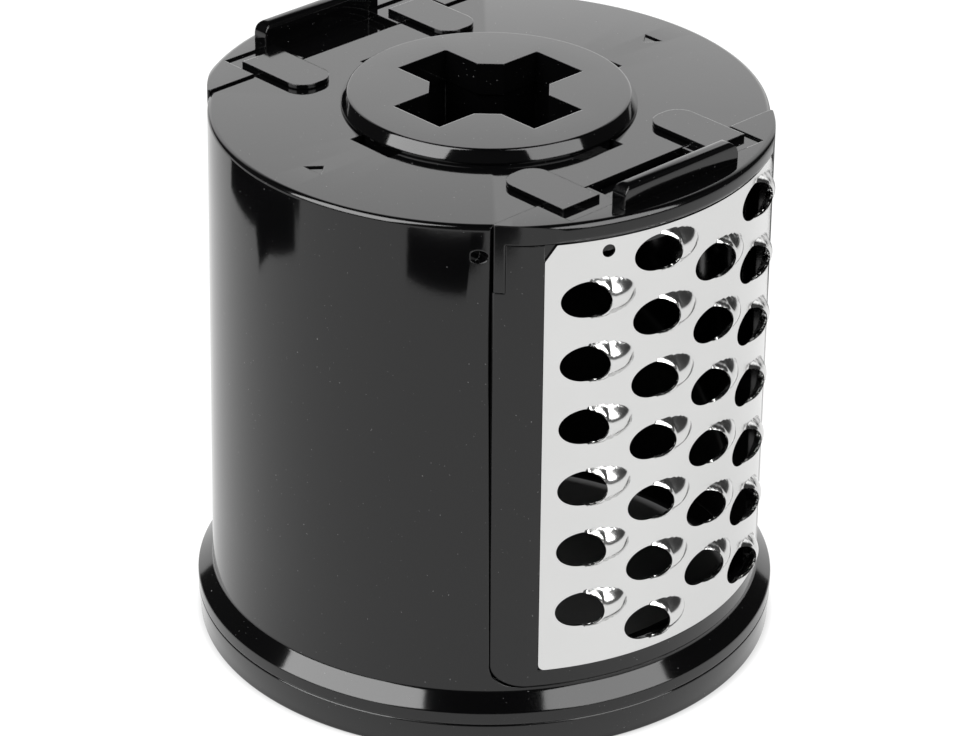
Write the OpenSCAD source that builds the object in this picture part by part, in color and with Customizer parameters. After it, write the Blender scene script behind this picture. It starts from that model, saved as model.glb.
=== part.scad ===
// Drum of a rotary cheese grater: a black drum with a cross-shaped drive socket in its
// end plate and two steel grating inserts that pull out upwards.
// The origin is at the centre of the rim that the drum stands on, and +Z is the drum's axis.

/* [Drum] */
// Diameter of the drum wall at the end plate
drum_d = 100; // [96:0.5:124]
// Height of the end plate's face above the rim it stands on
drum_h = 102.7; // [84:0.1:126]
// Thickness of the drum wall
wall = 2.4; // [1.8:0.1:3]
// Thickness of the end plate
plate_t = 2.4; // [1.8:0.1:3.2]
// How far the wall's radius grows from the end plate to the foot
draft = 1; // [0:0.1:1.6]
// Radius of the edge between wall and end plate
rim_r = 1; // [0.4:0.1:1.6]

/* [Foot] */
// How far the foot stands out from the wall
foot_out = 2.8; // [1.5:0.1:4]
// Height of the foot, up to the top of its sloping shoulder
foot_h = 11.1; // [9.5:0.1:14]
// Height of the base ring
ring_h = 6; // [4:0.1:7]

/* [Drive hub] */
// Diameter of the hub cap
hub_d = 52.8; // [48:0.1:56]
// Thickness of the hub cap
hub_t = 2.6; // [2:0.1:4]
// Width of each arm of the cross socket
cross_w = 11.7; // [8:0.1:14]
// Reach of each arm of the cross from the axis
cross_reach = 17.5; // [14:0.1:19]
// Chamfer in the cross socket's inner corners
cross_chamfer = 3.4; // [1:0.1:4]
// Depth of the socket sleeve below the end plate
sleeve_depth = 18; // [8:1:30]

/* [Inserts] */
// Distance from the axis to the flat joint between drum and insert
chord_y = 36.3; // [34:0.1:38]
// How far the insert stands out from the drum wall at the top
insert_out = 1.3; // [0.8:0.1:2]
// Thickness of the insert frame's skin
skin = 1.8; // [1.4:0.1:2.4]
// Gap all round between an insert and the drum
gap = 0.3; // [0.2:0.05:0.5]
// Height of the grip rib above the end plate
rib_h = 4.6; // [3:0.1:6]
// Length of the grip rib
rib_len = 27.6; // [20:0.1:30]
// Thickness of the grip rib
rib_t = 3; // [2:0.1:4]
// Width of the finger recess behind the rib
slot_w = 23; // [16:0.1:25]

/* [Grating plate] */
// Thickness of the steel sheet
sheet = 0.45; // [0.3:0.05:0.6]
// Half the angle that the steel sheet spans
sheet_half = 33; // [32:0.1:34]
// Diameter of a tooth's hole
tooth_d = 6.8; // [5:0.1:7.2]
// Height of a tooth's hood above the sheet
tooth_h = 2; // [1:0.1:2.2]
// Distance between rows of teeth
row_pitch = 12.25; // [11:0.05:13]
// Angle between columns of teeth
col_pitch = 15; // [14:0.1:16]

/* [Hidden] */
$fn = 96;
big = 3 * drum_d;
black = [0.05, 0.05, 0.055];

// Drum
r_top = drum_d / 2;
r_low = r_top + draft;
r_foot = r_low + foot_out;
foot_edge = foot_h - foot_out;
sill = foot_h + 0.9;
edge_x = sqrt(pow(r_top, 2) - pow(chord_y, 2));

// Base ring and the groove it is pressed into
ring_round = 0.6;
tongue_r = r_low + 0.2;
tongue_t = 1.4;
tongue_h = 1.8;
ring_fit = 0.1;

// Hub and its four clips
hub_r = hub_d / 2;
hub_edge = 0.4;
hub_slope = 1.1;
window_half = 5;
window_in = hub_r - 2.4;
window_out = hub_r + 2.1;
clip_t = 1.4;
clip_half = window_half - 0.5;
clip_gap = 0.25;
hook = 1;
hook_h = 1.6;
sleeve_wall = 2.2;
sleeve_gap = 0.3;
skirt_t = 1.2;
skirt_fit = 0.1;
skirt_low = drum_h - plate_t - 1;
sleeve_low = drum_h - plate_t - sleeve_depth;
mark_r = 40.5;
mark_long = 2.7;
mark_half = 2.2;
mark_depth = 0.3;

// Insert
r_ins = r_top + insert_out;
side_x = edge_x - gap;
back_y = chord_y + gap;
neck_x = sqrt(pow(r_top - wall, 2) - pow(chord_y, 2)) - 0.4;
web_t = 2;
tongue_out = r_low - 0.95;
tongue_wall = 1.15;
tongue_half = 20;
tongue_low = sill - 2.7;
frame_low = sill + gap;
frame_top = drum_h - 3.3;
corner_r = 4;
ease_off = 10;
ease_r = norm([side_x, back_y - ease_off]) + gap;
bottom_rail = 3;
sill_band = 2.4;
head_band = 2.6;
side_ang = 2.6;

// Grip cap
cap_low = frame_top + 0.1;
cap_top = drum_h + 0.4;
band_r = r_ins + 0.7;
band_round = 1.2;
step_x = 23.5;
ear_x = 13.5;
ear_gap = 2.27;
ear_in = sqrt(pow(hub_r + ear_gap, 2) - pow(ear_x, 2));
ear_out = chord_y + 5;
ear_w = 8.7;
ear_r = 3.6;
ear_low = drum_h + 0.15;
ear_high = drum_h + 0.95;
slot_out = chord_y + 8.3;
slot_floor = cap_low + 1.7;
leg_t = 1.2;
leg_h = 9;
rib_corner = 2.6;

// Steel plate
sheet_out = r_ins + 0.05;
sheet_in = sheet_out - sheet;
sheet_x = sheet_out * sin(sheet_half);
sheet_low = frame_low + bottom_rail + 0.2;
sheet_high = frame_top - 0.1;
window_ang = sheet_half - side_ang;
first_row = sheet_low + 5.5;
long_rows = floor((sheet_high - first_row - 4.5) / row_pitch) + 1;
stake_d = 2.4;
stake_ang = -20.4;
stake_z = sheet_high - 2.3;
hood_r = tooth_d / 2 + sheet;
hood_len = 7.6;
hood_tip = 0.9;
hole_back = 0.7;
col_shift = 1.86;
hood_sink = hood_r - tooth_h;

// A shape for each of the two inserts, the second one half a turn round
module at_side(rear) { rotate([0, 0, rear ? 180 : 0]) children(); }

module mirrored() {
    children();
    mirror([1, 0, 0]) children();
}

// A prism along Y with round lower corners, seen from the front
module front_prism(half_w, low, high, r) {
    rotate([90, 0, 0]) linear_extrude(height = big) {
        translate([-half_w, low + r]) square([2 * half_w, high - low - r]);
        translate([-half_w + r, low]) square([2 * (half_w - r), r + 0.01]);
        for (s = [-1, 1]) translate([s * (half_w - r), low + r]) circle(r = r);
    }
}

// A ring about the axis
module tube(r_in, r_out, low, high) {
    translate([0, 0, low]) difference() {
        cylinder(r = r_out, h = high - low, $fn = 180);
        translate([0, 0, -1]) cylinder(r = r_in, h = high - low + 2, $fn = 180);
    }
}

// Everything in front of the flat joint, between two heights
module front_box(half_w, back, low, high) {
    translate([-half_w, -big, low]) cube([2 * half_w, big - back, high - low]);
}

// Eases an insert's sides in, so that it meets the drum wall nearly flush at the joint
module side_ease() {
    translate([0, -ease_off, 0]) cylinder(r = ease_r, h = big, $fn = 180);
}

// A wedge from the axis that spans an angle each side of the front
module wedge(half, low, high) {
    far = 2 * r_top;
    translate([0, 0, low]) linear_extrude(height = high - low)
        polygon([[0, 0], [-far * sin(half), -far * cos(half)],
                 [0, -1.3 * far], [far * sin(half), -far * cos(half)]]);
}

module cross_outline(half_w, reach, chamfer) {
    k = half_w + chamfer;
    polygon([[reach, -half_w], [reach, half_w], [k, half_w], [half_w, k],
             [half_w, reach], [-half_w, reach], [-half_w, k], [-k, half_w],
             [-reach, half_w], [-reach, -half_w], [-k, -half_w], [-half_w, -k],
             [-half_w, -reach], [half_w, -reach], [half_w, -k], [k, -half_w]]);
}

// A cross-shaped prism, standing off the socket's outline by a margin
module cross_prism(margin, low, high) {
    translate([0, 0, low]) linear_extrude(height = high - low)
        cross_outline(cross_w / 2 + margin, cross_reach + margin, cross_chamfer);
}

// ---- drum shell ----
module shell_profile() {
    polygon([[0, drum_h], [r_top - rim_r, drum_h], [r_top - rim_r, drum_h - rim_r],
             [r_top, drum_h - rim_r], [r_low, foot_h], [r_foot, foot_edge],
             [r_foot, ring_h], [r_low - wall, ring_h],
             [r_top - wall, drum_h - plate_t], [0, drum_h - plate_t]]);
    translate([r_top - rim_r, drum_h - rim_r]) circle(r = rim_r);
}

module hub_windows() {
    for (a = [0:90:270]) rotate([0, 0, a])
        translate([window_in, -window_half, drum_h - plate_t - 1])
            cube([window_out - window_in, 2 * window_half, plate_t + 2]);
}

// Lip of the sill that a frame's tongue drops behind
module tongue_seat() {
    intersection() {
        cylinder(r = tongue_out + gap, h = sill + 1);
        wedge(tongue_half + 1, tongue_low - gap, sill + 1);
    }
}

module direction_mark() {
    translate([0, 0, drum_h - mark_depth]) linear_extrude(height = 1)
        polygon([[-mark_long / 2, 0], [mark_long / 2, mark_half],
                 [mark_long / 2, -mark_half]]);
}

module drum_shell() {
    color(black) difference() {
        union() {
            rotate_extrude($fn = 180) shell_profile();
            cross_prism(sleeve_gap + sleeve_wall, sleeve_low, drum_h - plate_t + 0.5);
        }
        for (rear = [false, true]) at_side(rear) {
            intersection() {
                front_box(big, chord_y, sill - 1, drum_h + 5);
                front_prism(edge_x + 0.2, sill, drum_h + 5, corner_r + gap);
            }
            tongue_seat();
            mirrored() translate([edge_x + 1, -chord_y + 2, stake_z]) rotate([90, 0, 0])
                cylinder(d = stake_d, h = 9);
        }
        cross_prism(sleeve_gap, sleeve_low - 1, drum_h + 1);
        cross_prism(skirt_t + skirt_fit, skirt_low - skirt_fit, drum_h + 1);
        hub_windows();
        for (s = [-1, 1]) translate([s * mark_r, 0, 0]) direction_mark();
        tube(tongue_r - ring_fit, tongue_r + tongue_t + ring_fit,
             ring_h - 1, ring_h + tongue_h + ring_fit);
    }
}

// ---- base ring ----
module base_ring() {
    color(black) {
        rotate_extrude($fn = 180)
            polygon([[r_low - wall, 0], [r_foot - 1.5 * ring_round, 0],
                     [r_foot - ring_round / 2, ring_round],
                     [r_foot, ring_h], [r_low - wall, ring_h]]);
        tube(tongue_r, tongue_r + tongue_t, ring_h - 0.5, ring_h + tongue_h);
    }
}

// ---- drive hub: cap, cross socket and four clips ----
module hub_profile() {
    polygon([[0, drum_h], [hub_r - 0.1, drum_h], [hub_r, drum_h + hub_edge],
             [hub_r - hub_slope, drum_h + hub_t - hub_edge],
             [hub_r - hub_slope - hub_edge, drum_h + hub_t], [0, drum_h + hub_t]]);
}

module hub_clip() {
    leg_x = window_in + clip_gap;
    low = drum_h - plate_t - clip_gap - hook_h;
    translate([leg_x, -clip_half, low])
        cube([clip_t, 2 * clip_half, drum_h + 1 - low]);
    translate([leg_x - hook - clip_gap, -clip_half, low])
        cube([hook + clip_gap + 0.5, 2 * clip_half, hook_h]);
}

module drive_hub() {
    color(black) {
        difference() {
            union() {
                rotate_extrude($fn = 180) hub_profile();
                cross_prism(skirt_t, skirt_low, drum_h + 1);
            }
            cross_prism(0, skirt_low - 1, drum_h + hub_t + 1);
        }
        for (a = [0:90:270]) rotate([0, 0, a]) hub_clip();
    }
}

// ---- insert frame ----
// Tongue that hangs behind the sill's lip
module frame_tongue() {
    intersection() {
        tube(tongue_out - tongue_wall, tongue_out, tongue_low, frame_low + 1);
        wedge(tongue_half, 0, drum_h);
    }
}

module insert_frame() {
    color(black) difference() {
        union() {
            intersection() {
                tube(r_ins - skin, r_ins, frame_low, frame_top);
                side_ease();
                front_box(side_x, back_y, 0, drum_h);
                front_prism(side_x, frame_low, drum_h, corner_r);
            }
            intersection() {
                mirrored() translate([neck_x - web_t, -r_ins, frame_low])
                    cube([web_t, r_ins - back_y, frame_top - frame_low]);
                cylinder(r = r_ins - skin / 2, h = drum_h, $fn = 180);
            }
            intersection() {
                tube(r_ins - 3 * skin, r_ins - skin / 2, frame_low, frame_low + bottom_rail);
                front_box(neck_x, back_y, 0, drum_h);
            }
            frame_tongue();
        }
        // rebate for the steel sheet, and the window behind it
        intersection() {
            tube(sheet_in - 0.03, big / 3, sheet_low - 0.05, drum_h);
            front_box(sheet_x + 0.1, back_y, 0, drum_h);
        }
        difference() {
            wedge(window_ang, sheet_low + sill_band, frame_top - head_band);
            cylinder(r = r_ins - 4 * skin, h = drum_h);
        }
        mirrored() translate([side_x - leg_t - 0.1, -big, cap_low - leg_h - 0.1])
            cube([leg_t + 1, big, leg_h + 1]);
    }
    // stake that locates the sheet
    color(black) rotate([0, 0, stake_ang]) translate([0, -sheet_in + 0.2, stake_z])
        rotate([90, 0, 0]) cylinder(d = stake_d - 0.1, h = sheet + 0.1);
}

// ---- steel grating plate ----
// A hood is a thin cone lying along the sheet, open towards -X
module hood(r, tip) {
    rotate([0, 90, 0]) cylinder(r1 = r, r2 = tip, h = hood_len, $fn = 48);
}

module at_teeth() {
    for (c = [0:3]) {
        rows = c % 2 == 0 ? long_rows - 1 : long_rows;
        first = first_row + (c % 2 == 0 ? row_pitch / 2 : 0);
        for (k = [0:rows - 1]) rotate([0, 0, (c - 1.5) * col_pitch - col_shift])
            translate([0, -sheet_out, first + k * row_pitch]) children();
    }
}

module sheet_blank() {
    chamfer_x = 2.1;
    chamfer_z = 3;
    foot_r = 1.2;
    intersection() {
        tube(sheet_in, sheet_out, sheet_low, sheet_high);
        rotate([90, 0, 0]) linear_extrude(height = big) {
            polygon([[-sheet_x, sheet_low + foot_r], [sheet_x, sheet_low + foot_r],
                     [sheet_x, sheet_high - chamfer_z], [sheet_x - chamfer_x, sheet_high],
                     [-sheet_x + chamfer_x, sheet_high], [-sheet_x, sheet_high - chamfer_z]]);
            translate([-sheet_x + foot_r, sheet_low])
                square([2 * (sheet_x - foot_r), foot_r + 0.01]);
            for (s = [-1, 1]) translate([s * (sheet_x - foot_r), sheet_low + foot_r])
                circle(r = foot_r);
        }
    }
}

module grater_plate() {
    color([0.82, 0.82, 0.83]) difference() {
        union() {
            sheet_blank();
            intersection() {
                at_teeth() translate([0, hood_sink, 0]) hood(hood_r, hood_tip);
                tube(sheet_in + 0.01, big / 3, sheet_low, sheet_high);
            }
        }
        at_teeth() {
            translate([-0.01, hood_sink, 0]) hood(hood_r - sheet, hood_tip - sheet);
            translate([-hole_back, 0, 0]) rotate([90, 0, 0]) translate([0, 0, -3])
                cylinder(d = tooth_d, h = 3.2, $fn = 48);
        }
        rotate([0, 0, stake_ang]) translate([0, -sheet_in + 2, stake_z]) rotate([90, 0, 0])
            cylinder(d = stake_d, h = 4);
    }
}

// ---- grip cap: flange, ears and grip rib ----
module band_profile() {
    r = band_round;
    translate([r_ins - 2 * skin, cap_low]) square([band_r - r_ins + 2 * skin - r, cap_top - cap_low]);
    translate([band_r - r, cap_low + r]) square([r, cap_top - cap_low - 2 * r]);
    for (z = [cap_low + r, cap_top - r]) translate([band_r - r, z]) circle(r = r);
}

module ear() {
    wide = ear_w - 2 * ear_r;
    translate([ear_x, -ear_out, ear_low])
        cube([ear_w, ear_out - ear_in - ear_r, ear_high - ear_low]);
    translate([ear_x + ear_r, -ear_out, ear_low])
        cube([wide, ear_out - ear_in, ear_high - ear_low]);
    for (x = [ear_x + ear_r, ear_x + ear_w - ear_r]) translate([x, -ear_in - ear_r, ear_low])
        cylinder(r = ear_r, h = ear_high - ear_low);
    // root that joins the ear to the flange
    translate([ear_x, -ear_out, cap_low + 1])
        cube([ear_w, ear_out - back_y, ear_low - cap_low - 0.9]);
}

module grip_rib() {
    low = cap_low + 1;
    high = drum_h + rib_h;
    half = rib_len / 2;
    r = rib_corner;
    translate([0, -slot_out, 0]) rotate([90, 0, 0]) linear_extrude(height = rib_t) {
        translate([-half, low]) square([rib_len, high - low - r]);
        translate([-half + r, low]) square([rib_len - 2 * r, high - low]);
        for (s = [-1, 1]) translate([s * (half - r), high - r]) circle(r = r);
    }
}

// Leg that runs down the edge of the frame
module leg() {
    intersection() {
        tube(r_ins - skin, r_ins, cap_low - leg_h, cap_low + 1.5);
        translate([side_x - leg_t, -big, 0]) cube([big, big, big]);
    }
}

module grip_cap() {
    color(black) difference() {
        union() {
            intersection() {
                union() {
                    rotate_extrude($fn = 180) band_profile();
                    translate([0, 0, cap_low + 1])
                        cylinder(r = r_ins - skin, h = cap_top - cap_low - 1);
                    mirrored() leg();
                }
                front_box(side_x, back_y, 0, big);
                side_ease();
            }
            grip_rib();
        }
        translate([-step_x, -slot_out, drum_h]) cube([2 * step_x, big, big]);
        translate([-slot_w / 2, -slot_out, slot_floor]) cube([slot_w, big, big]);
    }
    color(black) mirrored() ear();
}

module insert_frame_front() { at_side(false) insert_frame(); }
module grater_plate_front() { at_side(false) grater_plate(); }
module grip_cap_front() { at_side(false) grip_cap(); }
module insert_frame_rear() { at_side(true) insert_frame(); }
module grater_plate_rear() { at_side(true) grater_plate(); }
module grip_cap_rear() { at_side(true) grip_cap(); }

drum_shell();
base_ring();
drive_hub();
insert_frame_front();
grater_plate_front();
grip_cap_front();
insert_frame_rear();
grater_plate_rear();
grip_cap_rear();
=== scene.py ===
"""Looks of a rotary grater drum: glossy black mouldings and two satin steel grating inserts.

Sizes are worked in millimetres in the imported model's own frame and stored in metres.
"""

import math

import bmesh
import bpy
import numpy as np
from bpy.props import FloatProperty, FloatVectorProperty, PointerProperty
from mathutils import Matrix, Vector


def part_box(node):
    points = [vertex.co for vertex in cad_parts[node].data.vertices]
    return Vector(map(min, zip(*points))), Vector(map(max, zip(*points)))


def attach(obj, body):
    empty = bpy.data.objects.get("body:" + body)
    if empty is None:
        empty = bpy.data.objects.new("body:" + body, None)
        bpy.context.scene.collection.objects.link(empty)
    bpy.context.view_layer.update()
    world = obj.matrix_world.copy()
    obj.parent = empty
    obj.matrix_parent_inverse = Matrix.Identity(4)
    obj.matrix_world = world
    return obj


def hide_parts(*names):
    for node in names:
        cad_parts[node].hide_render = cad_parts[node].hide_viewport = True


bl_info = {
    "name": "Grater drum looks",
    "version": (1, 0, 0),
    "blender": (4, 5, 0),
    "location": "3D View > Sidebar > Grater",
    "description": "Builds the shown pieces of a grater drum round its packed model",
    "category": "Object",
}

MM = 0.001
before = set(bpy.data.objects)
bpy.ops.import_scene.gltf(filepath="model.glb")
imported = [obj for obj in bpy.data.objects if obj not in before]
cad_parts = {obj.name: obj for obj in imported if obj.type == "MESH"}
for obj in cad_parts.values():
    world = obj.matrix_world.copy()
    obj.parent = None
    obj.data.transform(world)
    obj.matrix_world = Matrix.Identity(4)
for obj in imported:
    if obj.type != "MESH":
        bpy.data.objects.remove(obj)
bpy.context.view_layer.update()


def low_mm(node):
    """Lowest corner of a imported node, in millimetres."""
    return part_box(node)[0] / MM


def high_mm(node):
    """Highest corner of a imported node, in millimetres."""
    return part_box(node)[1] / MM


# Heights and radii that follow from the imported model
PLATE_Z = high_mm("drum_shell").z
FOOT_R = high_mm("base_ring").x
HUB_R = high_mm("drive_hub").x
HUB_TOP = high_mm("drive_hub").z
SIDE_X = high_mm("insert_frame_front").x
FRAME_LOW = low_mm("insert_frame_front").z
FRAME_TOP = high_mm("insert_frame_front").z
INSERT_R = -low_mm("insert_frame_front").y
STEEL_LOW = low_mm("grater_plate_front").z
STEEL_HIGH = high_mm("grater_plate_front").z
RIB_TOP = high_mm("grip_cap_front").z

# Working sizes
AXIS_R = 0.02       # where a solid turned profile meets the axis
CORE_R = 20.0       # well inside the wall
FAR = 90.0          # well outside the drum
CHORD_IN = 30.0     # well behind the flat joint of drum and insert
SKY_Z = 200.0       # well above the drum
PAST = 1.0          # how far a cut runs past the face it opens
OVERLAP = 0.5       # how far joined solids reach into each other
ROUND = 360         # steps in a full turn
SHARP_ANGLE = math.radians(32)

# Drum wall, end plate and foot
WALL_R = 50.0
WALL_LOW_R = 51.0
WALL_T = 2.4
WALL_STEPS = 6
RIM_ROUND = 1.0
PLATE_T = 2.4
PLATE_UNDER = PLATE_Z - PLATE_T
SHOULDER_Z = 11.1
SHOULDER_TOP = SHOULDER_Z + 0.6
SHOULDER_MID = SHOULDER_Z + 0.55
SHOULDER_ROUND = 0.72
FOOT_MID = 8.25
FOOT_ROUND = 0.45
RING_Z = 6.0
RING_IN = WALL_LOW_R - WALL_T
RING_CHAMFER = 0.3
RING_ROUND = 0.6
RING_INSET = 0.95
JOINT_HALF = 0.02
JOINT_DEPTH = 0.15
JOINT_FLARE = 0.25

# Socket, hub cap and its clips
CROSS_HALF = 5.85
CROSS_REACH = 17.5
CROSS_CHAMFER = 3.4
SLEEVE_DEPTH = 18.0
SLEEVE_T = 2.5
SLEEVE_EASE = 0.3
SKIRT_T = 1.2
SKIRT_DEPTH = 3.4
SKIRT_GAP = 0.1
HUB_SEAT = PLATE_Z + 0.01
HUB_FOOT_R = HUB_R - 0.1
HUB_FOOT_Z = PLATE_Z + 0.4
HUB_FOOT_ROUND = 0.5
HUB_RIM_ROUND = 0.6
HUB_RIM_INSET = 1.55
HUB_LEAN = 29
WINDOW_HALF = 5.0
WINDOW_IN = HUB_R - 2.4
WINDOW_OUT = HUB_R + 2.1
CLIP_IN = WINDOW_IN + 0.25
CLIP_T = 1.4
CLIP_HALF = 4.5
CLIP_LOW = PLATE_UNDER - 1.85
HOOK_REACH = 1.25
HOOK_H = 1.6

# Pockets, sill and marks of the drum
SILL_Z = 12.0
CHORD_Y = 36.3
SEAM_GAP = 0.3
POCKET_CORNER = 4.3
POCKET_X = SIDE_X + 0.5
SEAT_DEPTH = 3.0
SNAP_HOLE_R = 1.2
SNAP_HOLE_X = POCKET_X + 1.1
SNAP_HOLE_Z = 97.0
SNAP_HOLE_Y = (-45, -34)
MARK_R = 40.5
MARK_LONG_HALF = 1.35
MARK_WIDE_HALF = 2.2
MARK_DEPTH = 0.3

# Insert frames
SKIN_T = 1.8
SKIN_IN = INSERT_R - SKIN_T
SKIN_MID = INSERT_R - SKIN_T / 2
BACK_Y = CHORD_Y + SEAM_GAP
FRAME_CORNER = 4.0
RIM_LOW = SILL_Z + SEAM_GAP
SHELF_H = 3.0
SHELF_IN = INSERT_R - 3 * SKIN_T
OPENING_IN = INSERT_R - 4 * SKIN_T
WEB_X = 30.39
WEB_T = 2.0
EASE_OFF = 10.0
EASE_R = math.hypot(SIDE_X, BACK_Y - EASE_OFF) + SEAM_GAP
TONGUE_R = WALL_LOW_R - 0.95
TONGUE_T = 1.15
TONGUE_HALF = 20.0
TONGUE_EASE = 1.0
SILL_BAND = 2.4
HEAD_BAND = 2.6
SIDE_BAND = 2.6
REBATE_GAP = 0.03
REBATE_EASE = 0.05
REBATE_TURN = 0.1

# Grip caps
BAND_LOW = FRAME_TOP + 0.1
BAND_TOP = PLATE_Z + 0.4
BAND_R = INSERT_R + 0.7
BAND_ROUND = 1.2
BAND_IN = INSERT_R - 2 * SKIN_T
BAND_FLOOR = BAND_LOW + 1.0
CAP_CORNER = 0.5
LEG_T = 1.2
LEG_H = 9.0
LEG_GAP = 0.1
LEG_ROOT = 1.5
STEP_X = 23.5
SLOT_HALF = 11.5
SLOT_OUT = 44.6
SLOT_FLOOR = BAND_LOW + 1.7
RIB_HALF = 13.8
RIB_T = 3.0
RIB_CORNER = 2.6
RIB_SINK = 0.02
RIB_CROWN = RIB_T / 2 - 0.1
EAR_IN = 25.3
EAR_OUT = 41.3
EAR_X = 13.5
EAR_W = 8.7
EAR_R = 3.6
EAR_LOW = PLATE_Z + 0.15
EAR_TOP = PLATE_Z + 0.95
EAR_ROOT_TOP = PLATE_Z + 0.3
EAR_TRIM = 0.01

# Steel sheet
SHEET_HALF = 33.0
SHEET_R = INSERT_R + 0.05
SHEET_T = 0.45
SHEET_ARC = math.radians(SHEET_HALF) * SHEET_R
TOP_CORNER_ACROSS = 2.1
TOP_CORNER_UP = 3.0
TOP_CORNER_SCALE = 1.72
LOW_CORNER_R = 1.2
STAKE_ANGLE = -20.4
STAKE_Z = STEEL_HIGH - 2.3
STAKE_R = 1.2

# Grating teeth
COLUMNS = 4
COLUMN_PITCH = 15.0
COLUMN_SHIFT = 1.86
LONG_ROWS = 7
ROW_PITCH = 12.25
FIRST_ROW = STEEL_LOW + 5.5
TOOTH_HALF = 3.4
HOLE_BACK = 4.9
MOUTH_REACH = 3.5
HOOD_END = 8.8
HOOD_H = 2.1
HOOD_HALF = 3.75
HOOD_TAIL_SPARE = 0.1
HOOD_TAIL_POWER = 0.8
HOOD_SIDE_POWER = 0.9
HOOD_SIDE_LEAST = 0.15
TOOTH_BOX = (8, 6)

# The sheet's grid and how its points slide onto the edges
GRID = 0.34
SLIDES = 2
PROBE = 0.01
SLOPE_LEAST = 0.2
SLIDE_REACH = 0.52
ON_EDGE = 0.02
SPACING_LEAST = 0.05

# Noise scales of the finishes
FLOW_SCALE = 14.0
GRAIN_SCALE = 900.0
DUST_SCALE = 2300.0
DUST_GREY = 0.28
ROLLING_SCALE = 5200.0
ROLLING_STRETCH = 0.03
CLOUD_SCALE = 60.0
FIBRE_SCALE = 600.0

# Stage
CAMERA_AZIMUTH = -43.86
CAMERA_ELEVATION = 28.11
CAMERA_ROLL = 0.57
CAMERA_AWAY = 0.7547
CAMERA_SHIFT = (0.00364, -0.01134)
CAMERA_CLIP = (0.01, 50)
SENSOR_WIDTH = 36.0
DRUM_MIDDLE = Vector((0, 0, PLATE_Z * MM / 2))
FLOOR_R = 9000.0
FLOOR_SIDES = 96
FLOOR_DROP = 0.02
CARD_Z = 1.0
SOFTBOX_AWAY = 1.2
SOFTBOX_ELEVATION = 42
GLOW_ELEVATION = 25


# ---------------------------------------------------------------- settings
class DrumSettings(bpy.types.PropertyGroup):
    """Finish of the black mouldings."""

    black: FloatVectorProperty(
        name="Black", description="Colour of the moulded plastic", subtype="COLOR",
        size=3, min=0, max=1, default=(0.0012, 0.0012, 0.0013))
    gloss: FloatProperty(
        name="Roughness", description="Roughness of the moulded plastic",
        min=0, max=1, default=0.07)
    edge: FloatProperty(
        name="Edge rounding", description="Radius of the small rounding on moulded edges",
        subtype="DISTANCE", unit="LENGTH", min=0, max=0.001, default=0.0003)


class SteelSettings(bpy.types.PropertyGroup):
    """Finish of the grating plates."""

    tint: FloatVectorProperty(
        name="Steel", description="Colour of the steel", subtype="COLOR",
        size=3, min=0, max=1, default=(0.62, 0.62, 0.615))
    satin: FloatProperty(
        name="Roughness", description="Roughness of the steel", min=0, max=1, default=0.18)


class StageSettings(bpy.types.PropertyGroup):
    """Light, floor and camera."""

    backdrop: FloatProperty(
        name="Backdrop", description="Brightness of the white surroundings",
        min=0, max=10, default=2.0)
    table: FloatProperty(
        name="Table", description="Glow of the white table", min=0, max=10, default=0.95)
    softbox: FloatProperty(
        name="Softboxes", description="Full power of a softbox", subtype="POWER",
        unit="POWER", min=0, max=500, default=34.0)
    lens: FloatProperty(
        name="Lens", description="Focal length of the camera in millimetres",
        min=10, max=400, default=151.06)


# ---------------------------------------------------------------- shader maths
class Value:
    """A socket that Python's operators can be used on; each one adds a Math node."""

    def __init__(self, nodes, socket):
        self.nodes = nodes
        self.socket = socket

    def _math(self, operation, first, second):
        made = self.nodes.add("ShaderNodeMath", {"operation": operation}, {0: first, 1: second})
        return made.out(0)

    def __add__(self, other):
        return self._math("ADD", self, other)

    def __radd__(self, other):
        return self._math("ADD", other, self)

    def __sub__(self, other):
        return self._math("SUBTRACT", self, other)

    def __rsub__(self, other):
        return self._math("SUBTRACT", other, self)

    def __mul__(self, other):
        return self._math("MULTIPLY", self, other)

    def __rmul__(self, other):
        return self._math("MULTIPLY", other, self)


class Made:
    """A node that has just been added."""

    def __init__(self, nodes, node):
        self.nodes = nodes
        self.node = node

    def out(self, key):
        return Value(self.nodes, self.node.outputs[key])


class Nodes:
    """Adds nodes to one node tree."""

    def __init__(self, tree):
        self.tree = tree
        tree.nodes.clear()

    def add(self, kind, settings=None, sockets=None):
        """Adds a node: settings first, then each socket's value or link."""
        node = self.tree.nodes.new(kind)
        for key, value in (settings or {}).items():
            if key == "stops":
                ramp = node.color_ramp
                while len(ramp.elements) > 1:
                    ramp.elements.remove(ramp.elements[-1])
                ramp.elements[0].position, ramp.elements[0].color = value[0]
                for position, colour in value[1:]:
                    ramp.elements.new(position).color = colour
            else:
                setattr(node, key, value)
        for key, value in (sockets or {}).items():
            if isinstance(value, Value):
                self.tree.links.new(value.socket, node.inputs[key])
            else:
                node.inputs[key].default_value = value
        return Made(self, node)

    def ramp(self, factor, *stops):
        """A grey ramp through (position, value) stops."""
        shades = [(place, (value, value, value, 1)) for place, value in stops]
        return self.add("ShaderNodeValToRGB", {"stops": shades}, {"Fac": factor}).out("Color")

    def noise(self, scale, detail, where):
        return self.add("ShaderNodeTexNoise", {}, {
            "Vector": where, "Scale": scale, "Detail": detail}).out("Fac")

    def blend(self, factor, first, second):
        """A colour between two opaque ones."""
        mixed = self.add("ShaderNodeMix", {"data_type": "RGBA"}, {
            "Factor": factor, "A": tuple(first) + (1,), "B": tuple(second) + (1,)})
        return Value(self, mixed.node.outputs["Result"])


def material(name):
    """A new material and its emptied node tree."""
    made = bpy.data.materials.new(name)
    made.use_nodes = True
    return made, Nodes(made.node_tree)


def finish_surface(nodes, sockets):
    """Adds the surface shader and the material's output."""
    surface = nodes.add("ShaderNodeBsdfPrincipled", {}, sockets).out("BSDF")
    nodes.add("ShaderNodeOutputMaterial", {}, {"Surface": surface})


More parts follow.
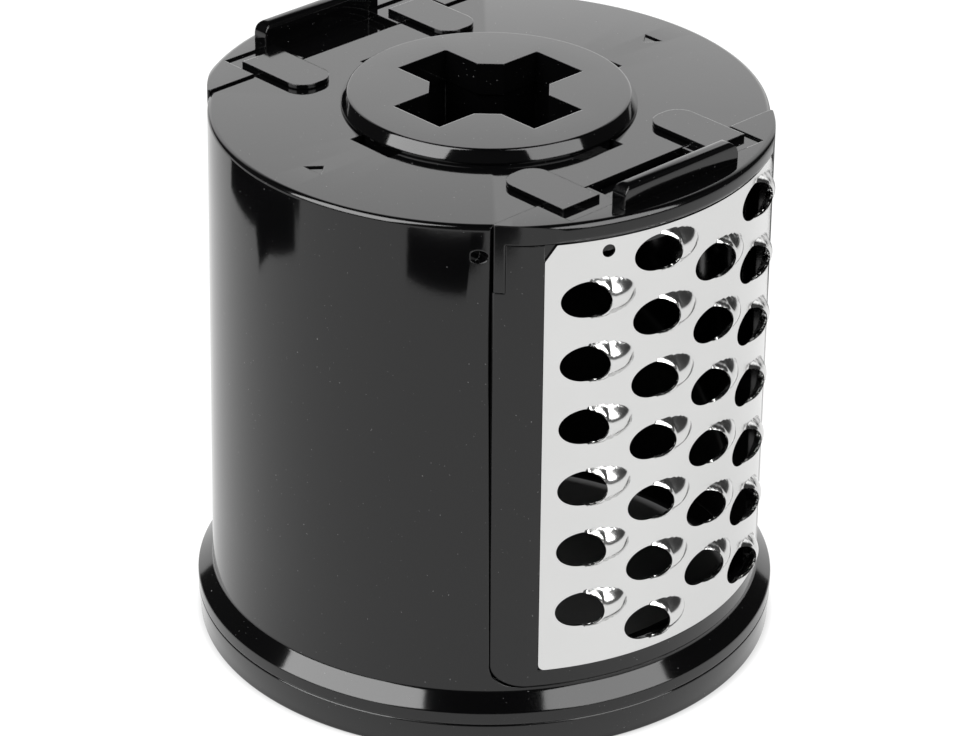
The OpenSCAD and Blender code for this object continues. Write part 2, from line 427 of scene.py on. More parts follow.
def black_plastic(name, settings, roughness):
    """Glossy black moulding with rounded edges, faint flow marks and a little dust."""
    made, nodes = material(name)
    place = nodes.add("ShaderNodeTexCoord").out("Object")
    flow = nodes.noise(FLOW_SCALE, 3.0, place)
    grain = nodes.noise(GRAIN_SCALE, 2.0, place)
    dust = nodes.ramp(nodes.noise(DUST_SCALE, 1.0, place), (0.775, 0.0), (0.80, 1.0))
    edge = nodes.add("ShaderNodeBevel", {"samples": 6}, {"Radius": settings.edge}).out("Normal")
    bump = nodes.add("ShaderNodeBump", {}, {
        "Strength": 0.12, "Distance": 0.00004, "Height": grain * 0.4 + flow * 4.0,
        "Normal": edge}).out("Normal")
    finish_surface(nodes, {
        "Base Color": nodes.blend(dust * 0.3, settings.black, (DUST_GREY,) * 3),
        "Roughness": flow * 0.05 + dust * 0.3 + (roughness - 0.02),
        "IOR": 1.45, "Normal": bump})


def satin_steel(name, settings):
    """Rolled stainless sheet: fine lines along its height, soft clouds in its sheen."""
    made, nodes = material(name)
    place = nodes.add("ShaderNodeTexCoord").out("Object")
    stretched = nodes.add("ShaderNodeMapping", {}, {
        "Vector": place, "Scale": (1, 1, ROLLING_STRETCH)}).out("Vector")
    lines = nodes.noise(ROLLING_SCALE, 2.0, stretched)
    clouds = nodes.noise(CLOUD_SCALE, 3.0, place)
    bump = nodes.add("ShaderNodeBump", {}, {
        "Strength": 0.10, "Distance": 0.00002, "Height": lines}).out("Normal")
    worn = [0.93 * part for part in settings.tint]
    finish_surface(nodes, {
        "Base Color": nodes.blend(clouds, settings.tint, worn),
        "Metallic": 1.0,
        "Roughness": lines * 0.05 + clouds * 0.06 + (settings.satin - 0.05),
        "Normal": bump})


def studio_white(name, glow):
    """White light table: it glows by itself, so the drum casts only a faint shadow.

    Its glow is painted off inside the drum's footprint: a painted shadow, dark under the drum
    where no light would reach it.
    """
    made, nodes = material(name)
    place = nodes.add("ShaderNodeTexCoord").out("Object")
    fibre = nodes.noise(FIBRE_SCALE, 2.0, place)
    away = nodes.add("ShaderNodeVectorMath", {"operation": "LENGTH"}, {0: place}).out("Value")
    # painted shadow: the glow is 0 inside the drum's footprint and 1 outside it
    glow_with_painted_shadow = nodes.ramp(away, (0.0, 0.0), (0.0505, 0.0), (0.0525, 1.0))
    finish_surface(nodes, {
        "Base Color": (0.10, 0.10, 0.10, 1), "Roughness": fibre * 0.05 + 0.75,
        "Specular IOR Level": 0.1, "Emission Color": glow_with_painted_shadow, "Emission Strength": glow})


# ---------------------------------------------------------------- mesh helpers
def mesh_object(name, points, faces):
    """A mesh object from points in millimetres."""
    mesh = bpy.data.meshes.new(name)
    mesh.from_pydata([tuple(c * MM for c in p) for p in points], [], faces)
    mesh.validate()
    made = bpy.data.objects.new(name, mesh)
    bpy.context.scene.collection.objects.link(made)
    return made


def fix_normals(made):
    """Merges doubles and turns every face outwards."""
    work = bmesh.new()
    work.from_mesh(made.data)
    bmesh.ops.remove_doubles(work, verts=work.verts, dist=1e-7)
    bmesh.ops.recalc_face_normals(work, faces=work.faces)
    work.to_mesh(made.data)
    work.free()
    return made


def lathe(name, profile, steps=ROUND):
    """A closed ring: the (radius, height) profile turned about the axis."""
    count = len(profile)
    turn = [2 * math.pi * k / steps for k in range(steps)]
    points = [(r * math.cos(a), r * math.sin(a), z) for a in turn for r, z in profile]
    faces = []
    for k in range(steps):
        here, there = k * count, (k + 1) % steps * count
        for i in range(count):
            j = (i + 1) % count
            faces.append((here + i, there + i, there + j, here + j))
    return fix_normals(mesh_object(name, points, faces))


def tube(name, r_in, r_out, low, high):
    """A ring of rectangular section."""
    return lathe(name, [(r_in, low), (r_out, low), (r_out, high), (r_in, high)])


def prism(name, outline, low, high, along="Z"):
    """An outline pulled through a distance along Z, or along Y for a front outline."""
    count = len(outline)

    def put(a, b, c):
        return (a, b, c) if along == "Z" else (a, c, b)

    points = [put(a, b, c) for c in (low, high) for a, b in outline]
    faces = [tuple(range(count)), tuple(range(count, 2 * count))]
    faces += [(i, (i + 1) % count, count + (i + 1) % count, count + i) for i in range(count)]
    return fix_normals(mesh_object(name, points, faces))


def block(name, x, y, z):
    """A box from three (low, high) pairs."""
    outline = [(x[0], y[0]), (x[1], y[0]), (x[1], y[1]), (x[0], y[1])]
    return prism(name, outline, z[0], z[1])


def wedge(name, half, low, high):
    """A wedge from the axis, spanning an angle each side of the front."""
    reach = 110.0
    s, c = math.sin(math.radians(half)), math.cos(math.radians(half))
    return prism(name, [(0, 0), (-reach * s, -reach * c), (0, -1.4 * reach),
                        (reach * s, -reach * c)], low, high)


def combine(target, operation, *tools):
    """Joins, cuts or clips one solid with others, and drops the others."""
    for tool in tools:
        step = target.modifiers.new(operation, "BOOLEAN")
        step.operation = operation
        step.solver = "EXACT"
        step.object = tool
        result = bpy.data.meshes.new_from_object(
            target.evaluated_get(bpy.context.evaluated_depsgraph_get()))
        target.modifiers.clear()
        target.data = result
        bpy.data.objects.remove(tool)
    return target


def arc(cx, cy, r, start, end, steps):
    """Points on an arc, angles in degrees."""
    turn = [math.radians(start + (end - start) * k / steps) for k in range(steps + 1)]
    return [(cx + r * math.cos(a), cy + r * math.sin(a)) for a in turn]


def circle(cx, cy, r, count):
    """The outline of a circle, as so many points."""
    return arc(cx, cy, r, 0, 360 - 360 / count, count - 1)


def rounded(x0, x1, y0, y1, r, steps=10, low=True, high=True):
    """A rectangle's outline with round lower and upper corners."""
    r_low = r if low else 0
    r_high = r if high else 0
    points = []
    for cx, cy, radius, start in (
            (x1 - r_low, y0 + r_low, r_low, 270), (x1 - r_high, y1 - r_high, r_high, 0),
            (x0 + r_high, y1 - r_high, r_high, 90), (x0 + r_low, y0 + r_low, r_low, 180)):
        points += arc(cx, cy, radius, start, start + 90, steps) if radius else [(cx, cy)]
    return points


def cross_prism(name, margin, low, high):
    """The drive socket's cross, grown by a margin."""
    w, reach = CROSS_HALF + margin, CROSS_REACH + margin
    k = w + CROSS_CHAMFER
    quarter = [(reach, -w), (reach, w), (k, w), (w, k)]
    points = []
    for turn in range(4):
        c, s = round(math.cos(turn * math.pi / 2)), round(math.sin(turn * math.pi / 2))
        points += [(x * c - y * s, x * s + y * c) for x, y in quarter]
    return prism(name, points, low, high)


def turned(made, degrees):
    """Turns a mesh about the drum's axis."""
    made.data.transform(Matrix.Rotation(math.radians(degrees), 4, "Z"))
    return made


def mirrored(made):
    """Turns a right-hand mesh into a left-hand one."""
    made.data.transform(Matrix.Scale(-1, 4, (1, 0, 0)))
    made.data.flip_normals()
    return made


def both_hands(target, operation, build):
    """Adds or cuts a right-hand solid, then its mirror image."""
    combine(target, operation, build())
    combine(target, operation, mirrored(build()))


def show(made, body, slot, finish, *nodes):
    """Smooths a piece, gives it its material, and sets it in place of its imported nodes."""
    mesh = made.data
    mesh.shade_smooth()
    mesh.set_sharp_from_angle(angle=SHARP_ANGLE)
    mesh.materials.clear()
    mesh.materials.append(bpy.data.materials[finish])
    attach(made, body)
    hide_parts(*nodes)
    return made


SIDES = (("front", 0), ("rear", 180))


def on_both_sides(made, piece, slot, finish):
    """Shows a piece in the front insert and a copy of it in the rear one."""
    for side, degrees in SIDES:
        copy = bpy.data.objects.new(f"{piece}_{side}_look", made.data.copy())
        bpy.context.scene.collection.objects.link(copy)
        turned(copy, degrees)
        show(copy, f"insert_{side}", slot, finish, f"{piece}_{side}")
    bpy.data.objects.remove(made)


# ---------------------------------------------------------------- drum
class GRATER_OT_drum_shell(bpy.types.Operator):
    """Builds the drum: wall, end plate, foot shoulder, pockets and windows"""

    bl_idname = "grater.drum_shell"
    bl_label = "Drum shell"

    def profile(self):
        """Outside from the axis to the foot's joint, then back up the inside."""
        top, foot = PLATE_Z - RIM_ROUND, SHOULDER_TOP
        points = [(AXIS_R, PLATE_Z)]
        points += arc(WALL_R - RIM_ROUND, top, RIM_ROUND, 90, 0, 8)
        points += [(WALL_R + (WALL_LOW_R - WALL_R) * k / WALL_STEPS,
                    top + (foot - top) * k / WALL_STEPS) for k in range(1, WALL_STEPS)]
        points += arc(WALL_LOW_R + SHOULDER_ROUND, SHOULDER_MID, SHOULDER_ROUND, 180, 225, 4)
        points += arc(FOOT_R - FOOT_ROUND, FOOT_MID, FOOT_ROUND, 45, 0, 5)
        points += [(FOOT_R, RING_Z + JOINT_FLARE), (FOOT_R - JOINT_DEPTH, RING_Z + JOINT_HALF)]
        points += [(RING_IN, RING_Z + JOINT_HALF), (WALL_R - WALL_T, PLATE_UNDER),
                   (AXIS_R, PLATE_UNDER)]
        return points

    def make_place(self, shell, degrees):
        """Cuts one insert's pocket, the tongue's seat, its snap holes and its mark."""
        outline = rounded(-POCKET_X, POCKET_X, SILL_Z, SKY_Z, POCKET_CORNER, high=False)
        pocket = prism("pocket", outline, -FAR, -CHORD_Y, along="Y")
        combine(shell, "DIFFERENCE", turned(pocket, degrees))
        seat = tube("seat", CORE_R, TONGUE_R + SEAM_GAP, SILL_Z - SEAT_DEPTH, SILL_Z + PAST)
        combine(seat, "INTERSECT", wedge("span", TONGUE_HALF + TONGUE_EASE, 0, SILL_Z + PAST))
        combine(shell, "DIFFERENCE", turned(seat, degrees))
        for x in (-SNAP_HOLE_X, SNAP_HOLE_X):
            hole = prism("snap_hole", circle(x, SNAP_HOLE_Z, SNAP_HOLE_R, 24), *SNAP_HOLE_Y,
                         along="Y")
            combine(shell, "DIFFERENCE", turned(hole, degrees))
        blunt = MARK_R + MARK_LONG_HALF
        mark = prism("mark", [(MARK_R - MARK_LONG_HALF, 0), (blunt, MARK_WIDE_HALF),
                              (blunt, -MARK_WIDE_HALF)], PLATE_Z - MARK_DEPTH, PLATE_Z + PAST)
        combine(shell, "DIFFERENCE", turned(mark, degrees))

    def execute(self, context):
        shell = lathe("drum_shell_look", self.profile())
        combine(shell, "UNION", cross_prism("sleeve", SLEEVE_T, PLATE_UNDER - SLEEVE_DEPTH,
                                            PLATE_UNDER + OVERLAP))
        for _, degrees in SIDES:
            self.make_place(shell, degrees)
        for quarter in range(4):
            window = block("window", (WINDOW_IN, WINDOW_OUT), (-WINDOW_HALF, WINDOW_HALF),
                           (PLATE_UNDER - PAST, PLATE_Z + PAST))
            combine(shell, "DIFFERENCE", turned(window, 90 * quarter))
        combine(shell, "DIFFERENCE",
                cross_prism("socket", SLEEVE_EASE, PLATE_UNDER - SLEEVE_DEPTH - PAST,
                            PLATE_Z + PAST),
                cross_prism("skirt_seat", SKIRT_T + SKIRT_GAP,
                            PLATE_Z - SKIRT_DEPTH - SKIRT_GAP, PLATE_Z + PAST))
        show(shell, "drum", "drum_plastic", "drum_black", "drum_shell")
        return {"FINISHED"}


class GRATER_OT_base_ring(bpy.types.Operator):
    """Builds the ring under the foot"""

    bl_idname = "grater.base_ring"
    bl_label = "Base ring"

    def execute(self, context):
        top = RING_Z - JOINT_HALF
        edge = FOOT_R - JOINT_HALF
        profile = [(RING_IN, RING_CHAMFER), (RING_IN + RING_CHAMFER, 0)]
        profile += arc(FOOT_R - RING_INSET, RING_ROUND, RING_ROUND, 270, 355, 6)
        profile += [(edge, RING_Z - JOINT_FLARE), (edge - JOINT_DEPTH, top), (RING_IN, top)]
        ring = lathe("base_ring_look", profile)
        show(ring, "drum", "drum_plastic", "drum_black", "base_ring")
        return {"FINISHED"}


class GRATER_OT_drive_hub(bpy.types.Operator):
    """Builds the hub cap with its cross socket and clips"""

    bl_idname = "grater.drive_hub"
    bl_label = "Drive hub"

    def execute(self, context):
        profile = [(AXIS_R, HUB_SEAT), (HUB_FOOT_R, HUB_SEAT)]
        profile += arc(HUB_R - HUB_FOOT_ROUND, HUB_FOOT_Z, HUB_FOOT_ROUND, 0, HUB_LEAN, 4)
        profile += arc(HUB_R - HUB_RIM_INSET, HUB_TOP - HUB_RIM_ROUND, HUB_RIM_ROUND,
                       HUB_LEAN, 90, 8)
        profile += [(AXIS_R, HUB_TOP)]
        hub = lathe("drive_hub_look", profile)
        combine(hub, "UNION",
                cross_prism("skirt", SKIRT_T, PLATE_Z - SKIRT_DEPTH, PLATE_Z + PAST))
        combine(hub, "DIFFERENCE",
                cross_prism("socket", 0, PLATE_Z - SKIRT_DEPTH - PAST, HUB_TOP + PAST))
        across = (-CLIP_HALF, CLIP_HALF)
        for quarter in range(4):
            clip = block("clip", (CLIP_IN, CLIP_IN + CLIP_T), across, (CLIP_LOW, PLATE_Z + PAST))
            hook = block("hook", (CLIP_IN - HOOK_REACH, CLIP_IN + OVERLAP), across,
                         (CLIP_LOW, CLIP_LOW + HOOK_H))
            combine(hub, "UNION", turned(clip, 90 * quarter), turned(hook, 90 * quarter))
        show(hub, "drum", "hub_plastic", "hub_black", "drive_hub")
        return {"FINISHED"}


# ---------------------------------------------------------------- inserts
def side_ease():
    """Eases an insert's sides in, so that it meets the drum wall nearly flush."""
    return prism("ease", circle(0, -EASE_OFF, EASE_R, 240), -PAST, SKY_Z)


class GRATER_OT_insert_frames(bpy.types.Operator):
    """Builds the black frames that carry the steel"""

    bl_idname = "grater.insert_frames"
    bl_label = "Insert frames"

    def web(self):
        """The right-hand rib behind the frame's skin."""
        web = block("web", (WEB_X - WEB_T, WEB_X), (-INSERT_R, -BACK_Y), (RIM_LOW, FRAME_TOP))
        return combine(web, "INTERSECT", tube("limit", AXIS_R, SKIN_MID, 0, PLATE_Z))

    def notch(self):
        """Room for the cap's right-hand leg."""
        return block("notch", (SIDE_X - LEG_T - LEG_GAP, SIDE_X + PAST), (-FAR, -CHORD_IN),
                     (BAND_LOW - LEG_H - LEG_GAP, PLATE_Z + PAST))

    def execute(self, context):
        body = tube("frame_skin", SKIN_IN, INSERT_R, RIM_LOW, FRAME_TOP)
        outline = rounded(-SIDE_X, SIDE_X, RIM_LOW, FRAME_TOP, FRAME_CORNER, high=False)
        combine(body, "INTERSECT", prism("front", outline, -FAR, -BACK_Y, along="Y"),
                side_ease())
        shelf = tube("shelf", SHELF_IN, SKIN_MID, RIM_LOW, RIM_LOW + SHELF_H)
        combine(shelf, "INTERSECT",
                block("front", (-WEB_X, WEB_X), (-FAR, -BACK_Y), (0, PLATE_Z)))
        combine(body, "UNION", shelf)
        both_hands(body, "UNION", self.web)
        tongue = tube("tongue", TONGUE_R - TONGUE_T, TONGUE_R, FRAME_LOW, RIM_LOW + PAST)
        combine(tongue, "INTERSECT", wedge("span", TONGUE_HALF, 0, PLATE_Z))
        combine(body, "UNION", tongue)
        rebate = tube("rebate", SHEET_R - SHEET_T - REBATE_GAP, FAR, STEEL_LOW - REBATE_EASE,
                      PLATE_Z)
        combine(rebate, "INTERSECT", wedge("span", SHEET_HALF + REBATE_TURN, 0, PLATE_Z + PAST))
        combine(body, "DIFFERENCE", rebate)
        opening = tube("opening", OPENING_IN, FAR, STEEL_LOW + SILL_BAND, FRAME_TOP - HEAD_BAND)
        combine(opening, "INTERSECT", wedge("span", SHEET_HALF - SIDE_BAND, 0, PLATE_Z + PAST))
        combine(body, "DIFFERENCE", opening)
        both_hands(body, "DIFFERENCE", self.notch)
        on_both_sides(body, "insert_frame", "insert_plastic", "insert_black")
        return {"FINISHED"}


class GRATER_OT_grip_caps(bpy.types.Operator):
    """Builds the caps with their ears, finger recesses and grip ribs"""

    bl_idname = "grater.grip_caps"
    bl_label = "Grip caps"

    def band(self):
        """The rounded band, turned all the way round."""
        r = BAND_R - BAND_ROUND
        profile = [(BAND_IN, BAND_LOW)]
        profile += arc(r, BAND_LOW + BAND_ROUND, BAND_ROUND, 270, 360, 10)
        profile += arc(r, BAND_TOP - BAND_ROUND, BAND_ROUND, 0, 90, 10)
        profile += [(CORE_R, BAND_TOP), (CORE_R, BAND_FLOOR), (BAND_IN, BAND_FLOOR)]
        return lathe("cap", profile)

    def leg(self):
        """The right-hand leg beside the frame."""
        leg = tube("leg", SKIN_IN, INSERT_R, BAND_LOW - LEG_H, BAND_LOW + LEG_ROOT)
        return combine(leg, "INTERSECT",
                       block("side", (SIDE_X - LEG_T, FAR), (-FAR, 0), (0, SKY_Z)))

    def rib(self):
        """The grip rib, rounded at its ends and along its crown."""
        back, front = -SLOT_OUT + RIB_SINK, -SLOT_OUT - RIB_T
        outline = rounded(-RIB_HALF, RIB_HALF, BAND_FLOOR, RIB_TOP, RIB_CORNER, low=False)
        rib = prism("rib", outline, front, back, along="Y")
        section = rounded(front, back, 0, RIB_TOP, RIB_CROWN, low=False)
        crown = prism("crown", section, -FAR, FAR, along="Y")
        return combine(rib, "INTERSECT", turned(crown, 90))

    def ear_root(self):
        """The right-hand ear's root in the band."""
        return block("root", (EAR_X + EAR_TRIM, EAR_X + EAR_W - EAR_TRIM),
                     (-EAR_OUT + EAR_TRIM, -BACK_Y), (BAND_LOW + LEG_ROOT, EAR_ROOT_TOP))

    def ear(self):
        """The right-hand ear, which reaches in over the end plate."""
        outline = rounded(EAR_X, EAR_X + EAR_W, -EAR_OUT, -EAR_IN, EAR_R, low=False)
        return prism("ear", outline, EAR_LOW, EAR_TOP)

    def execute(self, context):
        cap = self.band()
        both_hands(cap, "UNION", self.leg)
        outline = rounded(-SIDE_X, SIDE_X, -FAR, -BACK_Y, CAP_CORNER, low=False)
        combine(cap, "INTERSECT", prism("front", outline, 0, SKY_Z), side_ease())
        combine(cap, "DIFFERENCE", block("recess", (-STEP_X, STEP_X), (-SLOT_OUT, -CHORD_IN),
                                         (PLATE_Z, SKY_Z)))
        combine(cap, "UNION", self.rib())
        combine(cap, "DIFFERENCE", block("slot", (-SLOT_HALF, SLOT_HALF), (-SLOT_OUT, -CHORD_IN),
                                         (SLOT_FLOOR, SKY_Z)))
        both_hands(cap, "UNION", self.ear_root)
        both_hands(cap, "UNION", self.ear)
        on_both_sides(cap, "grip_cap", "insert_plastic", "insert_black")
        return {"FINISHED"}


# ---------------------------------------------------------------- grating plates
def tooth_centres():
    """Centres of the teeth along the sheet and up it; every other column has one more."""
    for column in range(COLUMNS):
        long = column % 2
        first = FIRST_ROW + (0 if long else ROW_PITCH / 2)
        angle = math.radians((column - (COLUMNS - 1) / 2) * COLUMN_PITCH - COLUMN_SHIFT)
        for row in range(LONG_ROWS if long else LONG_ROWS - 1):
            yield angle * SHEET_R, first + row * ROW_PITCH


def hood_height(t, s):
    """Height of a tooth's hood above the sheet; t runs from the mouth to the tail."""
    mouth = np.clip(t / MOUTH_REACH, 0, 1)
    rim = TOOTH_HALF * np.sqrt(1 - mouth ** 2)
    tail = np.clip((t - MOUTH_REACH) / (HOOD_END - MOUTH_REACH), 0, 1)
    crest = HOOD_H * np.where(t < MOUTH_REACH, mouth, (1 - tail ** 2) ** HOOD_TAIL_POWER)
    spread = np.clip(1 - (t / (HOOD_END + HOOD_TAIL_SPARE)) ** 2, 0, 1)
    half = HOOD_HALF * np.sqrt(spread) ** HOOD_TAIL_POWER
    side = np.clip((np.abs(s) - rim) / np.maximum(half - rim, HOOD_SIDE_LEAST), 0, 1)
    dome = crest * (1 - side ** 2) ** HOOD_SIDE_POWER
    return np.where((t > 0) & (t < HOOD_END), dome, 0)


def hole_field(t, s):
    """Below zero inside a tooth's hole, about a distance near its edge."""
    reach = np.where(t < 0, HOLE_BACK, MOUTH_REACH)
    return (np.hypot(t / reach, s / TOOTH_HALF) - 1) * TOOTH_HALF


def steel_field(u, z):
    """Above zero where the flat sheet has steel; u runs along its arc."""
    side = SHEET_ARC - np.abs(u)
    inside = np.minimum(side, np.minimum(z - STEEL_LOW, STEEL_HIGH - z))
    top = side / TOP_CORNER_ACROSS + (STEEL_HIGH - z) / TOP_CORNER_UP - 1
    inside = np.minimum(inside, top * TOP_CORNER_SCALE)
    corner = np.hypot(np.maximum(LOW_CORNER_R - side, 0),
                      np.maximum(STEEL_LOW + LOW_CORNER_R - z, 0))
    inside = np.minimum(inside, LOW_CORNER_R - corner)
    stake_u = math.radians(STAKE_ANGLE) * SHEET_R
    inside = np.minimum(inside, np.hypot(u - stake_u, z - STAKE_Z) - STAKE_R)
    for tooth_u, tooth_z in tooth_centres():
        near = (np.abs(u - tooth_u) < TOOTH_BOX[0]) & (np.abs(z - tooth_z) < TOOTH_BOX[1])
        inside[near] = np.minimum(inside[near], hole_field(u[near] - tooth_u, z[near] - tooth_z))
    return inside


class GRATER_OT_grater_plates(bpy.types.Operator):
    """Builds the steel plates with their hooded teeth"""

    bl_idname = "grater.grater_plates"
    bl_label = "Grating plates"

    def sheet_grid(self):
        """A grid over the flat sheet, its nearest points slid onto every edge of the steel."""
        u = np.linspace(-SHEET_ARC - GRID, SHEET_ARC + GRID, round(2 * SHEET_ARC / GRID) + 3)
        z = np.linspace(STEEL_LOW - GRID, STEEL_HIGH + GRID,
                        round((STEEL_HIGH - STEEL_LOW) / GRID) + 3)
        u, z = (part.copy() for part in np.meshgrid(u, z, indexing="ij"))
        for _ in range(SLIDES):
            at = steel_field(u, z)
            du = (steel_field(u + PROBE, z) - steel_field(u - PROBE, z)) / (2 * PROBE)
            dz = (steel_field(u, z + PROBE) - steel_field(u, z - PROBE)) / (2 * PROBE)
            slope = np.maximum(du ** 2 + dz ** 2, SLOPE_LEAST)
            close = np.abs(at) / np.sqrt(slope) < SLIDE_REACH * GRID
            u[close] -= (at * du / slope)[close]
            z[close] -= (at * dz / slope)[close]
        return u, z

    def skins(self, u, z):
        """Points of the outer skin, on the sheet's radius, then of the inner skin."""
        lift = np.zeros_like(u)
        for tooth_u, tooth_z in tooth_centres():
            lift = np.maximum(lift, hood_height(u - tooth_u, z - tooth_z))
        along_u = np.gradient(lift, axis=0) / np.maximum(np.gradient(u, axis=0), SPACING_LEAST)
        along_z = np.gradient(lift, axis=1) / np.maximum(np.gradient(z, axis=1), SPACING_LEAST)
        norm = np.sqrt(1 + along_u ** 2 + along_z ** 2)
        layers = []
        for depth in (0, SHEET_T):
            a = (u + depth * along_u / norm) / SHEET_R
            r = SHEET_R + lift - depth / norm
            up = z + depth * along_z / norm
            layers.append(np.stack([r * np.sin(a), -r * np.cos(a), up], -1).reshape(-1, 3))
        return np.concatenate(layers).tolist()

    def skin_faces(self, sign):
        """Faces of one skin: each grid square keeps its corners that aren't off the steel."""
        rows, columns = sign.shape
        faces = []
        for i in range(rows - 1):
            for j in range(columns - 1):
                ring = ((i, j), (i + 1, j), (i + 1, j + 1), (i, j + 1))
                kept = [p for p in ring if sign[p] >= 0]
                if len(kept) >= 3 and any(sign[p] > 0 for p in kept):
                    faces.append([a * columns + b for a, b in kept])
        return faces

    def execute(self, context):
        u, z = self.sheet_grid()
        at = steel_field(u, z)
        faces = self.skin_faces(np.where(np.abs(at) < ON_EDGE, 0, np.sign(at)).astype(int))
        edges = [e for face in faces for e in zip(face, face[1:] + face[:1])]
        known = set(edges)
        # The inner skin follows the outer one's points, and a wall joins them along each border
        solid = [tuple(face) for face in faces]
        solid += [tuple(p + u.size for p in reversed(face)) for face in faces]
        solid += [(b, a, a + u.size, b + u.size) for a, b in edges if (b, a) not in known]
        plate = mesh_object("plate", self.skins(u, z), solid)
        work = bmesh.new()
        work.from_mesh(plate.data)
        loose = [v for v in work.verts if not v.link_faces]
        bmesh.ops.delete(work, geom=loose, context="VERTS")
        bmesh.ops.recalc_face_normals(work, faces=work.faces)
        work.to_mesh(plate.data)
        work.free()
        on_both_sides(plate, "grater_plate", "grater_steel", "satin_steel")
        return {"FINISHED"}


class GRATER_OT_materials(bpy.types.Operator):
    """Makes the finishes of the plastic, the steel and the floor"""

    bl_idname = "grater.materials"
    bl_label = "Materials"

    def execute(self, context):
        drum = context.scene.grater_drum
        black_plastic("drum_black", drum, drum.gloss)
        black_plastic("hub_black", drum, drum.gloss)
        black_plastic("insert_black", drum, drum.gloss + 0.02)
        satin_steel("satin_steel", context.scene.grater_steel)
        studio_white("studio_white", context.scene.grater_stage.table)
        return {"FINISHED"}


# ---------------------------------------------------------------- stage
def direction(azimuth, elevation):
    """A unit vector; azimuth 0 is the front, in degrees."""
    a, e = math.radians(azimuth), math.radians(elevation)
    return Vector((math.sin(a) * math.cos(e), -math.cos(a) * math.cos(e), math.sin(e)))


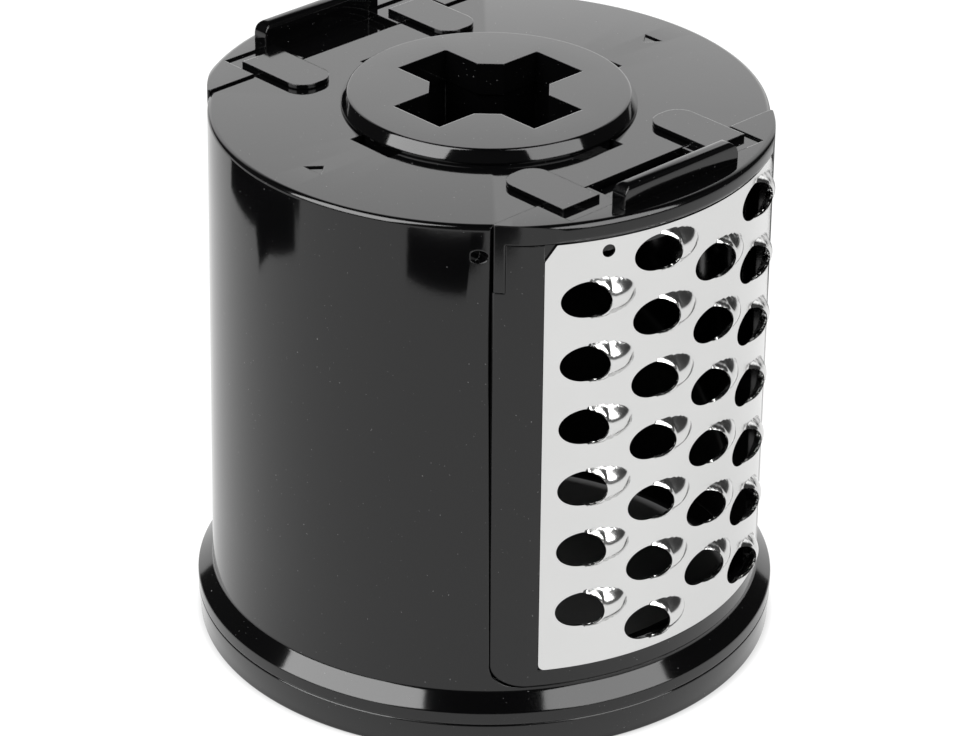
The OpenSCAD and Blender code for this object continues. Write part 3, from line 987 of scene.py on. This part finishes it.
class GRATER_OT_stage(bpy.types.Operator):
    """Sets the floor, the soft light and the camera"""

    bl_idname = "grater.stage"
    bl_label = "Stage"

    def execute(self, context):
        stage = context.scene.grater_stage
        scene = context.scene
        scene.view_settings.view_transform = "Standard"
        self.surroundings(scene, stage)
        turn = [2 * math.pi * k / FLOOR_SIDES for k in range(FLOOR_SIDES)]
        floor = mesh_object("floor", [(FLOOR_R * math.cos(a), FLOOR_R * math.sin(a), -FLOOR_DROP)
                                      for a in turn], [tuple(range(FLOOR_SIDES))])
        floor.data.materials.append(bpy.data.materials["studio_white"])
        self.softbox("softbox_left", -104, (1.0, 1.1), 0.9 * stage.softbox)
        self.softbox("softbox_right", 12, (0.85, 1.1), 0.52 * stage.softbox)
        # Black cards: two that leave dark drips under the rim, one that darkens the right side
        self.card((240, -161), (232, -142), (204, -139), (219, -133), (240, -118),
                  (330, -118), (330, -161))
        self.card((253, -73), (244, -66), (240, -53), (252, -45), (330, -45), (330, -73))
        self.card((58, 97), (58, 150), (900, 150), (900, 97))
        self.camera(scene, stage)
        return {"FINISHED"}

    def surroundings(self, scene, stage):
        """White to the camera; to the drum, bright only low down behind it."""
        world = bpy.data.worlds.new("studio")
        world.use_nodes = True
        scene.world = world
        nodes = Nodes(world.node_tree)
        place = nodes.add("ShaderNodeTexCoord").out("Generated")
        height = nodes.add("ShaderNodeSeparateXYZ", {}, {"Vector": place}).out("Z")
        low = nodes.ramp(height, (0.0, 1.0), (0.56, 1.0), (0.72, 0.02))
        behind = direction(CAMERA_AZIMUTH + 180, GLOW_ELEVATION)
        facing = nodes.add("ShaderNodeVectorMath", {"operation": "DOT_PRODUCT"},
                           {0: place, 1: tuple(behind)}).out("Value")
        away = nodes.ramp(facing, (0.0, 0.02), (0.72, 0.02), (0.86, 1.0))
        seen = nodes.add("ShaderNodeLightPath").out("Is Camera Ray")
        glow = low * away * (1 - seen) + seen
        sky = nodes.add("ShaderNodeBackground", {}, {
            "Color": glow, "Strength": stage.backdrop}).out("Background")
        nodes.add("ShaderNodeOutputWorld", {}, {"Surface": sky})

    def softbox(self, name, azimuth, size, power):
        """An area light that faces the drum's middle."""
        light = bpy.data.lights.new(name, "AREA")
        light.shape = "RECTANGLE"
        light.size, light.size_y = size
        light.energy = power
        made = bpy.data.objects.new(name, light)
        bpy.context.scene.collection.objects.link(made)
        back = direction(azimuth, SOFTBOX_ELEVATION)
        made.location = DRUM_MIDDLE + back * SOFTBOX_AWAY
        made.rotation_euler = back.to_track_quat("Z", "Y").to_euler()
        made.visible_camera = False

    def card(self, *corners):
        """A black card on the table, given by (distance, azimuth) corners.

        It only shows as a reflection in the gloss.
        """
        points = [direction(azimuth, 0) * away for away, azimuth in corners]
        made = mesh_object("card", [(p.x, p.y, CARD_Z) for p in points],
                           [tuple(range(len(points)))])
        made.data.materials.append(bpy.data.materials["drum_black"])
        made.visible_camera = made.visible_diffuse = made.visible_shadow = False

    def camera(self, scene, stage):
        azimuth, roll = math.radians(CAMERA_AZIMUTH), math.radians(CAMERA_ROLL)
        back = direction(CAMERA_AZIMUTH, CAMERA_ELEVATION)
        across = Vector((math.cos(azimuth), math.sin(azimuth), 0))
        up = back.cross(across)
        right = across * math.cos(roll) + up * math.sin(roll)
        above = up * math.cos(roll) - across * math.sin(roll)
        lens = bpy.data.cameras.new("camera")
        lens.lens = stage.lens
        lens.sensor_width = SENSOR_WIDTH
        lens.shift_x, lens.shift_y = CAMERA_SHIFT
        lens.clip_start, lens.clip_end = CAMERA_CLIP
        made = bpy.data.objects.new("camera", lens)
        scene.collection.objects.link(made)
        turn = Matrix((right, above, back)).transposed().to_4x4()
        made.matrix_world = Matrix.Translation(DRUM_MIDDLE + back * CAMERA_AWAY) @ turn
        scene.camera = made


class GRATER_PT_panel(bpy.types.Panel):
    """Lists the grater's settings and pieces"""

    bl_label = "Grater drum"
    bl_idname = "GRATER_PT_panel"
    bl_space_type = "VIEW_3D"
    bl_region_type = "UI"
    bl_category = "Grater"

    def draw(self, context):
        for name, kind in SETTINGS.items():
            for key in kind.__annotations__:
                self.layout.prop(getattr(context.scene, name), key)
        for operator in OPERATORS:
            self.layout.operator(operator.bl_idname)


SETTINGS = {"grater_drum": DrumSettings, "grater_steel": SteelSettings,
            "grater_stage": StageSettings}
OPERATORS = (GRATER_OT_materials, GRATER_OT_stage, GRATER_OT_drum_shell, GRATER_OT_base_ring,
             GRATER_OT_drive_hub, GRATER_OT_insert_frames, GRATER_OT_grater_plates,
             GRATER_OT_grip_caps)
CLASSES = tuple(SETTINGS.values()) + OPERATORS + (GRATER_PT_panel,)


def register():
    for kind in CLASSES:
        bpy.utils.register_class(kind)
    for name, group in SETTINGS.items():
        setattr(bpy.types.Scene, name, PointerProperty(type=group))


def unregister():
    for name in SETTINGS:
        delattr(bpy.types.Scene, name)
    for kind in reversed(CLASSES):
        bpy.utils.unregister_class(kind)


def main():
    register()
    for operator in OPERATORS:
        group, name = operator.bl_idname.split(".")
        getattr(getattr(bpy.ops, group), name)()


if __name__ == "__main__":
    main()
